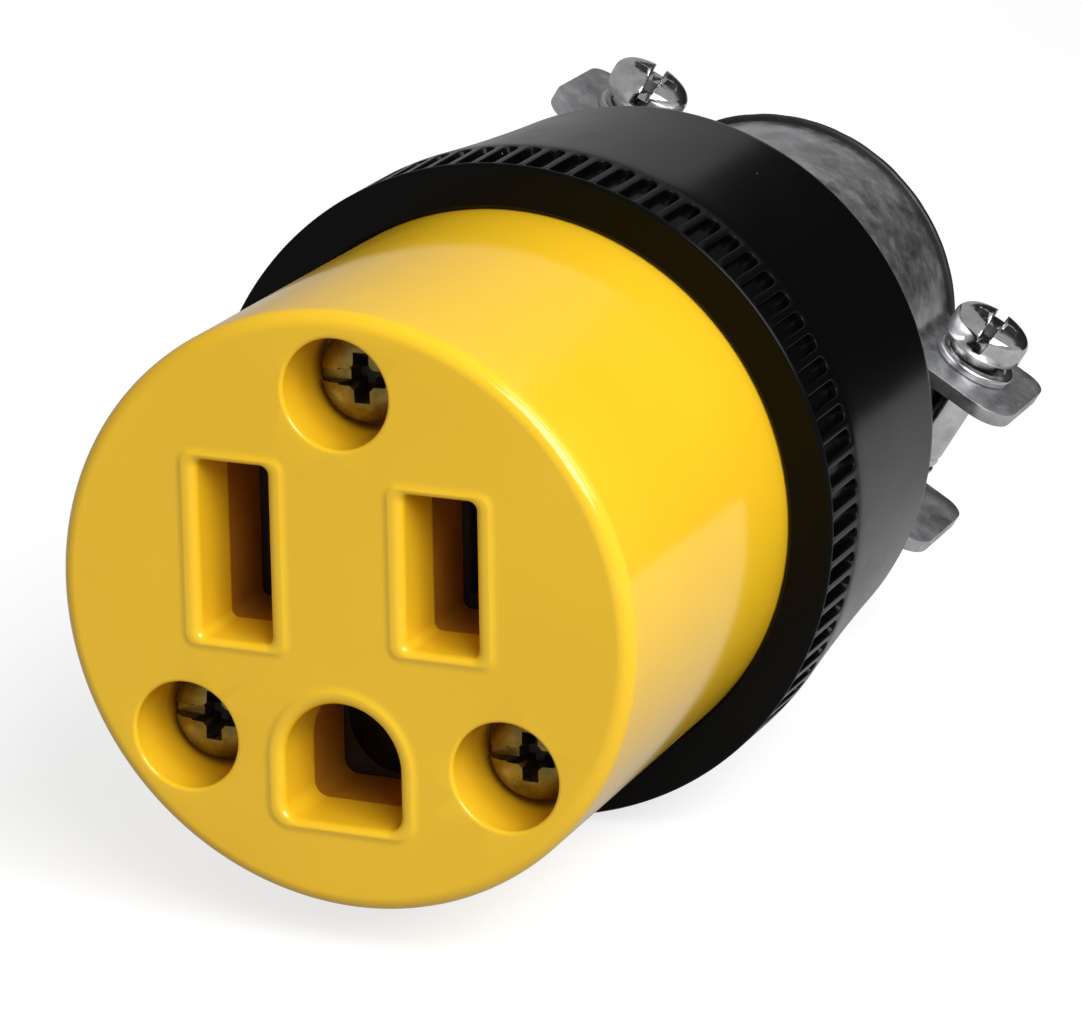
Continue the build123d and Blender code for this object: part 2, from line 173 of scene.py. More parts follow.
def frame_matrix(x_dir, y_dir, z_dir, origin):
    matrix = Matrix((x_dir, y_dir, z_dir)).transposed().to_4x4()
    matrix.translation = origin
    return matrix


def out_of_face(x, rise, depth):
    """Axes at a point of the connector, with their z out of the face."""
    return frame_matrix(Vector((1, 0, 0)), Vector((0, 0, 1)), Vector((0, -1, 0)), place(x, rise, depth))


# Outlines: closed lists of (x, rise), with the same number of points whatever their size

def spread(start, end, steps):
    """Evenly spaced values from start to end, both included."""
    return [start + (end - start) * step / steps for step in range(steps + 1)]


def arc(x, y, radius, start, end, steps):
    turns = [radians(angle) for angle in spread(start, end, steps)]
    return [(x + radius * cos(turn), y + radius * sin(turn)) for turn in turns]


def quarter(steps):
    """The angles of a quarter turn, in radians."""
    return [pi / 2 * step / steps for step in range(steps + 1)]


def circle(x, y, radius, steps=96):
    return arc(x, y, radius, 0, 360, steps)[:-1]


def rounded_box(x, y, width, height, corner, steps=6):
    w, h = width / 2 - corner, height / 2 - corner
    return (arc(x + w, y + h, corner, 0, 90, steps) + arc(x - w, y + h, corner, 90, 180, steps)
            + arc(x - w, y - h, corner, 180, 270, steps) + arc(x + w, y - h, corner, 270, 360, steps))


def ground_outline(shape, offset=0.0, flat_share=1.0):
    half, bottom, corner = shape[0] + offset, shape[1] + offset * flat_share, shape[2] + offset
    low = GROUND_RISE - bottom + corner
    return (arc(GROUND_X, GROUND_RISE, half, 0, 180, 32)
            + arc(GROUND_X - half + corner, low, corner, 180, 270, 6)
            + arc(GROUND_X + half - corner, low, corner, 270, 360, 6))


def rounding(radius, steps=6):
    """Offsets and drops of a quarter round, from the flat it starts on to the wall it ends on."""
    return [(radius * (1 - sin(turn)), radius * (1 - cos(turn))) for turn in quarter(steps)]


# Mesh building

def ring(bm, points):
    return [bm.verts.new(point) for point in points]


def bridge(bm, first, second):
    for index in range(len(first)):
        after = (index + 1) % len(first)
        bm.faces.new((first[index], first[after], second[after], second[index]))


def stack(bm, rings):
    """Walls through a list of rings of points. Gives back the first and the last ring."""
    made = [ring(bm, points) for points in rings]
    for first, second in zip(made, made[1:]):
        bridge(bm, first, second)
    return made[0], made[-1]


def fill(bm, *loops):
    """A flat fill between an outer loop and the loops inside it."""
    edges = []
    for loop in loops:
        for index, vert in enumerate(loop):
            after = loop[(index + 1) % len(loop)]
            edges.append(bm.edges.get((vert, after)) or bm.edges.new((vert, after)))
    bmesh.ops.triangle_fill(bm, use_beauty=True, use_dissolve=False, edges=edges)


def turned(bm, profile, matrix, steps=64):
    """A closed turned shape: profile is (radius, height), from one end of its axis to the other."""
    made = []
    for radius, height in profile:
        if radius < 1e-6:
            made.append([bm.verts.new(matrix @ Vector((0, 0, height)))])
        else:
            made.append(ring(bm, [matrix @ Vector((x, y, height))
                                  for x, y in circle(0, 0, radius, steps)]))
    for first, second in zip(made, made[1:]):
        if len(first) == 1 and len(second) > 1:
            for index, vert in enumerate(second):
                bm.faces.new((first[0], vert, second[(index + 1) % steps]))
        elif len(second) == 1:
            for index, vert in enumerate(first):
                bm.faces.new((second[0], first[(index + 1) % steps], vert))
        else:
            bridge(bm, first, second)
    return made


def piece(name, bm):
    """The mesh as an object, in metres, with its normals pointing out."""
    bmesh.ops.remove_doubles(bm, verts=bm.verts, dist=1e-4)
    bmesh.ops.recalc_face_normals(bm, faces=bm.faces)
    bmesh.ops.scale(bm, vec=(MM, MM, MM), verts=bm.verts)
    mesh = bpy.data.meshes.new(name)
    bm.to_mesh(mesh)
    bm.free()
    obj = bpy.data.objects.new(name, mesh)
    bpy.context.scene.collection.objects.link(obj)
    return obj


def bake(obj):
    """Applies the object's modifiers to its mesh."""
    graph = bpy.context.evaluated_depsgraph_get()
    mesh = bpy.data.meshes.new_from_object(obj.evaluated_get(graph))
    obj.modifiers.clear()
    obj.data = mesh


def combine(obj, tools, operation):
    """Joins tool shapes to a piece or cuts them out of it, one after another."""
    for tool in tools:
        modifier = obj.modifiers.new(operation, "BOOLEAN")
        modifier.operation = operation
        modifier.solver = "EXACT"
        modifier.object = tool
        bake(obj)
        bpy.data.objects.remove(tool)


def merge(obj, extra):
    """Adds another shape's mesh to the object's own."""
    bm = bmesh.new()
    bm.from_mesh(obj.data)
    bm.from_mesh(extra.data)
    bm.to_mesh(obj.data)
    bm.free()
    bpy.data.objects.remove(extra)


def round_edges(obj, width, segments=2, angle=50):
    modifier = obj.modifiers.new("round", "BEVEL")
    modifier.width = width * MM
    modifier.segments = segments
    modifier.limit_method = "ANGLE"
    modifier.angle_limit = radians(angle)
    modifier.use_clamp_overlap = True
    bake(obj)


def dress(obj, node, material, angle=32):
    """Smooth shading, material and place in the frame for a piece that stands for a CAD node."""
    obj.data.shade_smooth()
    obj.data.set_sharp_from_angle(angle=radians(angle))
    weighted = obj.modifiers.new("weighted", "WEIGHTED_NORMAL")
    weighted.keep_sharp = True
    obj.data.materials.clear()
    obj.data.materials.append(material)
    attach(obj, "root")
    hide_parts(node)


# Materials

def linear(red, green, blue):
    """A colour given as 0 to 255, for the shader."""
    parts = [value / 255 for value in (red, green, blue)]
    return tuple(v / 12.92 if v <= 0.04045 else ((v + 0.055) / 1.055) ** 2.4 for v in parts) + (1,)


class Surface:
    """A procedural material on a Principled shader, in the object's own coordinates."""

    def __init__(self, name, colour, roughness, metallic=0.0, **sockets):
        self.material = bpy.data.materials.new(name)
        self.material.use_nodes = True
        self.tree = self.material.node_tree
        self.shader = self.tree.nodes["Principled BSDF"]
        self.shader.inputs["Base Color"].default_value = colour
        self.shader.inputs["Roughness"].default_value = roughness
        self.shader.inputs["Metallic"].default_value = metallic
        for socket, value in sockets.items():
            self.shader.inputs[socket.replace("_", " ")].default_value = value
        self.coordinates = self.tree.nodes.new("ShaderNodeTexCoord").outputs["Object"]
        self.height = None

    def node(self, kind, links=(), **settings):
        made = self.tree.nodes.new(kind)
        for setting, value in settings.items():
            setattr(made, setting, value)
        for socket, source in links:
            if hasattr(source, "is_linked"):
                self.tree.links.new(source, made.inputs[socket])
            else:
                made.inputs[socket].default_value = source
        return made

    def noise(self, grain, detail=3.0, rough=0.5, stretch=None):
        """Noise whose grains are about that many millimetres across."""
        source = self.coordinates
        if stretch:
            source = self.node("ShaderNodeMapping", [("Vector", source), ("Scale", stretch)]).outputs[0]
        return self.node("ShaderNodeTexNoise", [
            ("Vector", source), ("Scale", 1 / (grain * MM)), ("Detail", detail), ("Roughness", rough),
        ]).outputs["Fac"]

    def remap(self, source, low, high, to_low=0.0, to_high=1.0):
        return self.node("ShaderNodeMapRange", [
            ("Value", source), ("From Min", low), ("From Max", high),
            ("To Min", to_low), ("To Max", to_high),
        ]).outputs[0]

    def math(self, operation, first, second):
        return self.node("ShaderNodeMath", [(0, first), (1, second)], operation=operation).outputs[0]

    def blend(self, factor, first, second):
        return self.node("ShaderNodeMix", [("Factor", factor), (6, first), (7, second)],
                         data_type="RGBA").outputs[2]

    def colour(self, source):
        self.tree.links.new(source, self.shader.inputs["Base Color"])

    def roughness(self, source):
        self.tree.links.new(source, self.shader.inputs["Roughness"])

    def bump(self, height, depth, strength=1.0):
        """Relief of that depth in millimetres, laid over the relief made before."""
        links = [("Height", height), ("Distance", depth * MM), ("Strength", strength)]
        if self.height:
            links.append(("Normal", self.height))
        self.height = self.node("ShaderNodeBump", links).outputs[0]
        self.tree.links.new(self.height, self.shader.inputs["Normal"])


def specks(surface, spacing, size):
    """1 on small scattered dots, 0 elsewhere."""
    cells = surface.node("ShaderNodeTexVoronoi", [
        ("Vector", surface.coordinates), ("Scale", 1 / (spacing * MM)), ("Randomness", 1.0),
    ]).outputs
    dots = surface.remap(cells["Distance"], size * 0.6, size, 1, 0)
    chosen = surface.remap(cells["Color"], 0.62, 0.66)
    return surface.math("MULTIPLY", dots, chosen)


def yellow_plastic():
    surface = Surface("yellow_plastic", linear(248, 200, 38), 0.13)
    skin = surface.blend(surface.remap(surface.noise(14, 2), 0.3, 0.7),
                         linear(246, 195, 34), linear(250, 201, 40))
    # Painted shade: the deep ends of the recesses blend to a dark brown, darker than the skin, for the
    # shade that falls down in them
    place_in = surface.node("ShaderNodeSeparateXYZ", [(0, surface.coordinates)]).outputs
    depth = surface.remap(place_in[1], (FACE_Y + 3.9) * MM, (FACE_Y + 5.5) * MM)
    from_axis = surface.node("ShaderNodeVectorMath", [
        (0, surface.coordinates), (1, (0, FACE_Y * MM, AXIS_Z * MM))], operation="SUBTRACT").outputs[0]
    across = surface.node("ShaderNodeVectorMath", [
        (0, from_axis), (1, (1, 0, 1))], operation="MULTIPLY").outputs[0]
    reach = surface.node("ShaderNodeVectorMath", [(0, across)], operation="LENGTH").outputs["Value"]
    inside = surface.remap(reach, 16.6 * MM, 16.9 * MM, 1, 0)
    surface.colour(surface.blend(surface.math("MULTIPLY", depth, inside), skin, linear(176, 116, 12)))
    surface.roughness(surface.remap(surface.noise(2.2, 4), 0.3, 0.7, 0.11, 0.16))
    surface.bump(surface.noise(6, 2), 0.03, 0.25)
    surface.bump(surface.noise(0.5, 2), 0.002, 0.3)
    return surface.material


def black_plastic():
    surface = Surface("black_plastic", linear(5, 5, 5), 0.2)
    surface.shader.inputs["IOR"].default_value = 1.2
    dust = specks(surface, 2.6, 0.035)
    surface.colour(surface.blend(dust, linear(5, 5, 5), linear(110, 106, 98)))
    smear = surface.noise(4, 3, 0.6, (1, 0.4, 1))
    surface.roughness(surface.remap(smear, 0.3, 0.7, 0.17, 0.24))
    scratch = surface.remap(surface.noise(1.3, 2, 0.4, (1, 6, 2)), 0.74, 0.77)
    surface.bump(scratch, 0.006, 0.3)
    surface.bump(surface.noise(7, 2), 0.03, 0.2)
    return surface.material


def zinc_steel():
    surface = Surface("zinc_steel", linear(150, 151, 153), 0.4, 1.0)
    patches = surface.node("ShaderNodeTexVoronoi", [
        ("Vector", surface.coordinates), ("Scale", 1 / (1.7 * MM)),
    ]).outputs["Color"]
    cloud = surface.noise(3.2, 5, 0.65)
    mixed = surface.math("ADD", surface.math("MULTIPLY", patches, 0.22), cloud)
    surface.colour(surface.blend(surface.remap(mixed, 0.35, 0.85), linear(138, 139, 141),
                                 linear(222, 223, 225)))
    surface.roughness(surface.remap(surface.noise(1.1, 5, 0.6), 0.3, 0.7, 0.3, 0.46))
    surface.bump(cloud, 0.03, 0.25)
    return surface.material


def bright_steel(name, shade, low, high):
    surface = Surface(name, linear(shade, shade, shade), low, 1.0)
    cloud = surface.noise(1.2, 4, 0.6)
    dark = linear(shade - 26, shade - 26, shade - 25)
    pale = linear(shade + 6, shade + 6, shade + 7)
    surface.colour(surface.blend(surface.remap(cloud, 0.35, 0.65), dark, pale))
    surface.roughness(surface.remap(surface.noise(0.5, 4), 0.3, 0.7, low, high))
    surface.bump(surface.noise(0.8, 3), 0.02, 0.4)
    return surface.material


def brass(name, light, dark):
    surface = Surface(name, light, 0.3, 1.0)
    surface.colour(surface.blend(surface.remap(surface.noise(1.5, 4, 0.6), 0.35, 0.7), dark, light))
    surface.roughness(surface.remap(surface.noise(0.6, 4), 0.3, 0.7, 0.24, 0.44))
    surface.bump(surface.noise(0.7, 3), 0.015, 0.4)
    return surface.material


def dull_plastic(name, dark, light, grain):
    surface = Surface(name, dark, 0.55)
    surface.colour(surface.blend(surface.remap(surface.noise(2.5, 4), 0.3, 0.7), dark, light))
    surface.roughness(surface.remap(surface.noise(1, 3), 0.3, 0.7, 0.45, 0.65))
    surface.bump(surface.noise(grain, 4, 0.6), 0.02, 0.5)
    return surface.material


YELLOW = yellow_plastic()
BLACK = black_plastic()
ZINC = zinc_steel()
CHROME = bright_steel("bright_screw", 224, 0.1, 0.2)
WASHER_STEEL = bright_steel("bright_washer", 214, 0.14, 0.26)
OLIVE = brass("dull_screw", linear(156, 140, 80), linear(106, 95, 54))
# Painted shade: a near-black dull material for the insides of the screw recesses
RECESS_SHADE = dull_plastic("screw_recess_painted_shade", linear(9, 8, 6), linear(20, 18, 13), 0.4)
BRASS = brass("brass", linear(214, 178, 104), linear(176, 140, 74))
# Painted shade: the guide plate is the body's yellow plastic, given a darker orange-brown for the shade
# deep in the mouths
SHADED_GUIDE = dull_plastic("guide_plastic_painted_shade", linear(168, 110, 20), linear(180, 120, 24), 0.8)
CARRIER = dull_plastic("carrier_plastic", linear(22, 15, 11), linear(30, 20, 14), 0.5)
RUBBER = dull_plastic("guard_rubber", linear(12, 12, 12), linear(24, 24, 24), 0.3)


# Front body

def front_radius(depth):
    return FRONT_RADIUS - FRONT_TAPER * depth / FRONT_LENGTH


def at_depth(outline, depth):
    return [place(x, y, depth) for x, y in outline]


def pad_base(outline):
    """Rings that rise in a soft step from the face to the top of a pad."""
    steps = ((0.36, 0.0), (0.22, 0.01), (0.08, 0.04), (-0.04, 0.085), (-0.1, 0.108), (-0.16, PAD_RISE))
    return [at_depth(outline(offset), -rise) for offset, rise in steps]


END_SHARE = MOUTH_END_LIP / MOUTH_LIP
bm = bmesh.new()
face_rings = []
inner_rings = []
for mouth_x, mouth_height in BLADE_MOUTHS:
    def pad(offset):
        return rounded_box(mouth_x, SLOT_RISE, MOUTH_WIDTH + 2 * (PAD_MARGIN_SIDE + offset),
                           mouth_height + 2 * (PAD_MARGIN_END + offset), PAD_CORNER + offset)

    def mouth(offset):
        return rounded_box(mouth_x, SLOT_RISE, MOUTH_WIDTH + 2 * offset,
                           mouth_height + 2 * offset * END_SHARE, MOUTH_CORNER + 0.5 * offset)

    rings = pad_base(pad)
    rings += [at_depth(mouth(offset), drop - PAD_RISE) for offset, drop in rounding(MOUTH_LIP)]
    rings += [at_depth(mouth(0), FRONT_WALL)]
    first, last = stack(bm, rings)
    face_rings.append(first)
    inner_rings.append(last)

rings = pad_base(lambda offset: ground_outline(GROUND_PAD, offset))
rings += [at_depth(ground_outline(GROUND_MOUTH, offset, END_SHARE), drop - PAD_RISE)
          for offset, drop in rounding(MOUTH_LIP)]
rings += [at_depth(ground_outline(GROUND_MOUTH), FRONT_WALL)]
first, last = stack(bm, rings)
face_rings.append(first)
inner_rings.append(last)

# Wells with the holes through their floors
boss_end = WELL_DEPTH + WELL_FLOOR
hole_ends = []
for x, y in SCREW_POINTS.values():
    rings = [at_depth(circle(x, y, WELL_RADIUS + offset), drop) for offset, drop in rounding(WELL_LIP)]
    first, last = stack(bm, rings + [at_depth(circle(x, y, WELL_RADIUS), WELL_DEPTH)])
    face_rings.append(first)
    hole_start, hole_end = stack(bm, [at_depth(circle(x, y, SHANK_HOLE), depth)
                                      for depth in (WELL_DEPTH, boss_end)])
    fill(bm, last, hole_start)
    hole_ends.append(hole_end)

# The cavity's outline, whole behind the screw bosses and notched by them in front
spans = []
for x, y in SCREW_POINTS.values():
    reach = hypot(x, y)
    half = degrees(acos((reach ** 2 + CAVITY_RADIUS ** 2 - BOSS_RADIUS ** 2)
                        / (2 * reach * CAVITY_RADIUS)))
    free = degrees(acos((CAVITY_RADIUS * cos(radians(half)) - reach) / BOSS_RADIUS))
    spans.append((x, y, degrees(atan2(y, x)) % 360, half, free))
whole, notched, boss_faces = [], [], []
for (x, y, middle, half, free), (_, _, next_middle, next_half, _) in zip(spans, spans[1:] + spans[:1]):
    gap_end = next_middle - next_half + (360 if next_middle < middle else 0)
    round_boss = arc(x, y, BOSS_RADIUS, middle - free, middle + free - 360, 48)
    covered = arc(0, 0, CAVITY_RADIUS, middle - half, middle + half, 16)
    between = arc(0, 0, CAVITY_RADIUS, middle + half, gap_end, 48)
    whole += covered[:-1] + between[:-1]
    notched += round_boss[:-1] + between[:-1]
    boss_faces.append(covered + round_boss[-2:0:-1])

profile = [(FRONT_RADIUS - FACE_EDGE + FACE_EDGE * sin(turn), FACE_EDGE * (1 - cos(turn)))
           for turn in quarter(8)]
profile += [(front_radius(depth), depth) for depth in (2, 6, 12, 18, 24, FRONT_LENGTH - REAR_CHAMFER)]
profile += [(front_radius(FRONT_LENGTH) - REAR_CHAMFER, FRONT_LENGTH)]
first, last = stack(bm, [at_depth(circle(0, 0, radius, 256), depth) for radius, depth in profile])
fill(bm, first, *face_rings)
rim, _ = stack(bm, [at_depth(whole, FRONT_LENGTH), at_depth(whole, boss_end)])
fill(bm, last, rim)
_, cavity_floor = stack(bm, [at_depth(notched, boss_end), at_depth(notched, FRONT_WALL)])
fill(bm, cavity_floor, *inner_rings)
for outline, hole_end in zip(boss_faces, hole_ends):
    fill(bm, ring(bm, at_depth(outline, boss_end)), hole_end)
front_body = piece("front_body_shell", bm)
dress(front_body, "front_body", YELLOW)


# Rear cover

def on_cover(along, depth, radius, turn):
    """A point on the cover, along being the way round at its outside from the place at that turn."""
    angle = turn + along / COVER_RADIUS
    return place(radius * sin(angle), radius * cos(angle), depth)


def grip_outline(offset):
    """One grip pocket, square at the front and round at the rear, as (along, depth)."""
    half = GRIP_WIDTH / 2 + offset
    corner = 0.12 + offset
    rear = GRIP_END - GRIP_WIDTH / 2
    front = GRIP_START - offset + corner
    return (arc(0, rear, half, 0, 180, 10) + arc(-half + corner, front, corner, 180, 270, 3)
            + arc(half - corner, front, corner, 270, 360, 3))


cell_width = 2 * pi * COVER_RADIUS / GRIP_COUNT
cell_steps = 4
band_front = COLLAR_DEPTH + COVER_FRONT_EDGE
band_rear = GRIP_END + 0.5
cell = bmesh.new()
edge_along = [cell_width * (step / cell_steps - 0.5) for step in range(cell_steps + 1)]
side_depths = (25.6, 26.5, 27.4, 28.3)
border = ([(along, band_front, 0) for along in edge_along]
          + [(cell_width / 2, depth, 0) for depth in side_depths]
          + [(along, band_rear, 0) for along in reversed(edge_along)]
          + [(-cell_width / 2, depth, 0) for depth in reversed(side_depths)])
pocket = [[(x, y, drop) for x, y in grip_outline(offset)] for offset, drop in rounding(GRIP_LIP, 3)]
pocket += [[(x, y, GRIP_DEPTH - 0.12) for x, y in grip_outline(-0.07)],
           [(x, y, GRIP_DEPTH) for x, y in grip_outline(-0.11)]]
mouth_ring, floor_ring = stack(cell, pocket)
fill(cell, ring(cell, border), mouth_ring)
fill(cell, floor_ring)
cell.verts.index_update()
cell_points = [vert.co.copy() for vert in cell.verts]
cell_faces = [[vert.index for vert in face.verts] for face in cell.faces]
cell.free()

bm = bmesh.new()
for count in range(GRIP_COUNT):
    turn = 2 * pi * count / GRIP_COUNT
    verts = ring(bm, [on_cover(point.x, point.y, COVER_RADIUS - point.z, turn) for point in cell_points])
    for face in cell_faces:
        bm.faces.new([verts[index] for index in face])

ring_steps = GRIP_COUNT * cell_steps
ring_turns = [2 * pi * (step - cell_steps / 2) / ring_steps for step in range(ring_steps)]


def cover_rings(profile):
    return [[on_cover(0, depth, radius, turn) for turn in ring_turns] for radius, depth in profile]


front_round = [(COVER_RADIUS - offset, COLLAR_DEPTH + drop)
               for drop, offset in rounding(COVER_FRONT_EDGE, 4)]


def tail(depth):
    """Radius of the cover behind its collar, where it narrows in a slight hollow curve."""
    share = (depth - COLLAR_END) / (COVER_END - COLLAR_END)
    return COVER_RADIUS + (TAIL_RADIUS - COVER_RADIUS) * share - 4 * TAIL_SAG * share * (1 - share)


tail_edge = COVER_END - COVER_REAR_EDGE
rear_round = [(tail(tail_edge) - COVER_REAR_EDGE * (1 - cos(turn)),
               tail_edge + COVER_REAR_EDGE * sin(turn))
              for turn in quarter(16)]
opening_round = [(OPENING_RADIUS + OPENING_EDGE * (1 - sin(turn)),
                  COVER_END - OPENING_EDGE * (1 - cos(turn)))
                 for turn in quarter(6)]
outside = [(COVER_RADIUS, band_rear), (COVER_RADIUS, COLLAR_END - 0.12),
           (COVER_RADIUS - 0.01, COLLAR_END)]
outside += [(tail(depth), depth) for depth in (29.9, 31, 32.5, 34, 36, 38, 40, 42, 44, 45.2)]
inside = [(OPENING_RADIUS, COVER_END - COVER_REAR_WALL), (COVER_INNER, COVER_END - COVER_REAR_WALL),
          (COVER_INNER, COVER_SEAT), (COVER_BORE, COVER_SEAT),
          (COVER_BORE, COLLAR_DEPTH + BORE_CHAMFER), (COVER_BORE + BORE_CHAMFER, COLLAR_DEPTH)]
stack(bm, cover_rings(outside + rear_round + opening_round + inside + front_round[::-1]))

# Bosses that hold the threaded inserts, their outer sides sunk in the cover's wall
insert_front = COVER_SEAT + 0.1
insert_end = insert_front + INSERT_LENGTH
tube = [(INSERT_RADIUS, insert_front), (INSERT_BOSS_RADIUS, insert_front),
        (INSERT_BOSS_RADIUS, INSERT_BOSS_END), (SHANK_HOLE, INSERT_BOSS_END),
        (SHANK_HOLE, insert_end), (INSERT_RADIUS, insert_end), (INSERT_RADIUS, insert_front)]
for x, y in SCREW_POINTS.values():
    turned(bm, [(radius, -depth) for radius, depth in tube], out_of_face(x, y, 0), 96)
rear_cover = piece("rear_cover_shell", bm)
dress(rear_cover, "rear_cover", BLACK)


# Screws

def wedge(matrix, top, bottom, depth):
    """A tapered cutter: half sizes at height 0 and at its bottom, its top a little above height 0."""
    bm = bmesh.new()
    above = 0.6
    top_size = [half + (half - low) * above / depth for half, low in zip(top, bottom)]
    rings = []
    for level, (half_x, half_y) in ((above, top_size), (-depth, bottom)):
        rings.append([matrix @ Vector((x, y, level)) for x, y in (
            (half_x, half_y), (-half_x, half_y), (-half_x, -half_y), (half_x, -half_y))])
    first, last = stack(bm, rings)
    fill(bm, first)
    fill(bm, last)
    return piece("tool", bm)


def thread(height, top, foot, radius, pitch=THREAD_PITCH, depth=0.32):
    """Radius of a screw's shank at each height and turn: plain above, threaded below."""
    def at(turn):
        wave = abs(((height / pitch - turn / (2 * pi)) % 1) * 2 - 1)
        groove = min(1, max(0, wave * 1.5 - 0.25))
        fade = min(1, max(0, (top - height) / 1.0)) * min(1, max(0, (height - foot) / 0.3))
        return radius - depth * groove * fade
    return at


def screw(name, matrix, head, shank, length, plain, slot_turn=0.0):
    """A pan-head screw with a slot and a cross, cut at the origin and then put in its place."""
    radius, height = head
    edge, dome, neck = HEAD_EDGE, HEAD_DOME, 0.15
    crown = [(radius * step / 6, height - dome * (step / 6) ** 2) for step in range(5)]
    crown += [(radius - edge + edge * sin(turn), height - dome - (edge - dome) * (1 - cos(turn)))
              for turn in quarter(8)[1:]]
    crown += [(radius, 0.25), (radius - 0.06, 0.08), (radius - 0.2, 0.0), (shank + neck, 0.0),
              (shank, -neck)]
    bm = bmesh.new()
    made = turned(bm, crown, Matrix())
    steps = 64
    rows = int(length / THREAD_ROW)
    previous = made[-1]
    for row in range(1, rows + 1):
        level = -neck - (length - neck) * row / rows
        around = thread(level, -plain, -length, shank)
        points = []
        for index in range(steps):
            turn = 2 * pi * index / steps
            points.append(Vector((around(turn) * cos(turn), around(turn) * sin(turn), level)))
        after = ring(bm, points)
        bridge(bm, previous, after)
        previous = after
    fill(bm, previous)
    obj = piece(name, bm)
    top = Matrix.Translation((0, 0, height - dome / 2)) @ Matrix.Rotation(slot_turn, 4, "Z")
    eighth = Matrix.Rotation(pi / 4, 4, "Z")
    tools = [wedge(top, (0.4, radius + 1), (0.36, radius + 1), SLOT_DEPTH),
             wedge(top, (0.48, 1.45), (0.3, 0.7), CROSS_DEPTH),
             wedge(top, (1.45, 0.48), (0.7, 0.3), CROSS_DEPTH),
             wedge(top @ eighth, (0.86, 0.86), (0.4, 0.4), CROSS_DEPTH)]
    combine(obj, tools, "DIFFERENCE")
    round_edges(obj, 0.09, 2, 40)
    seat = matrix.copy()
    seat.translation = matrix.translation * MM
    obj.data.transform(seat)
    return obj


def paint_recess_shade(obj, matrix, head):
    """Gives the cross recess a second, near-black material: painted shade down in the recess."""
    radius, height = head
    inverse = matrix.inverted()
    obj.data.materials.append(RECESS_SHADE)
    for face in obj.data.polygons:
        spot = inverse @ (face.center / MM)
        if hypot(spot.x, spot.y) < CROSS_REACH and 0.1 < spot.z < height - 0.42:
            face.material_index = 1


slot_turns = {"top": radians(91), "left": radians(88), "right": radians(90)}
for name, (x, y) in SCREW_POINTS.items():
    matrix = out_of_face(x, y, WELL_DEPTH)
    obj = screw(f"well_screw_{name}", matrix, ASSEMBLY_HEAD, ASSEMBLY_SHANK,
                ASSEMBLY_END - WELL_DEPTH, ASSEMBLY_END - WELL_DEPTH - ASSEMBLY_THREAD, slot_turns[name])
    dress(obj, f"assembly_screw_{name}", OLIVE)
    paint_recess_shade(obj, matrix, ASSEMBLY_HEAD)

for name, across, slot_turn in (("left", -CLAMP_SCREW_SIDE, radians(12)),
                                ("right", CLAMP_SCREW_SIDE, radians(6))):
    matrix = frame_matrix(CLAMP_ACROSS, Vector((0, 1, 0)), CLAMP_UP,
                          clamp_place(1, across, HEAD_SEAT, CLAMP_SCREW_DEPTH))
    obj = screw(f"cord_screw_{name}", matrix, CLAMP_HEAD, CLAMP_SHANK, HEAD_SEAT - SCREW_FOOT,
                HEAD_SEAT - THREAD_TOP, slot_turn)
    dress(obj, f"clamp_screw_{name}", CHROME)
    paint_recess_shade(obj, matrix, CLAMP_HEAD)
    radius, thickness = WASHER
    hole, edge = SHANK_HOLE, WASHER_EDGE
    seat = clamp_place(1, across + WASHER_SHIFT, UPPER_LEVEL + SHEET, CLAMP_SCREW_DEPTH)
    matrix = frame_matrix(CLAMP_ACROSS, Vector((0, 1, 0)), CLAMP_UP, seat)
    profile = [(hole, 0), (hole, thickness - 0.1), (hole + 0.1, thickness), (radius - edge, thickness)]
    profile += [(radius - edge + edge * sin(turn), thickness - edge * (1 - cos(turn)))
                for turn in quarter(4)[1:]]
    profile += [(radius, 0.1), (radius - 0.1, 0), (hole, 0)]
    bm = bmesh.new()
    turned(bm, profile, matrix)
    obj = piece(f"cord_washer_{name}", bm)
    dress(obj, f"clamp_washer_{name}", WASHER_STEEL)


# Clamp halves and their edge guards

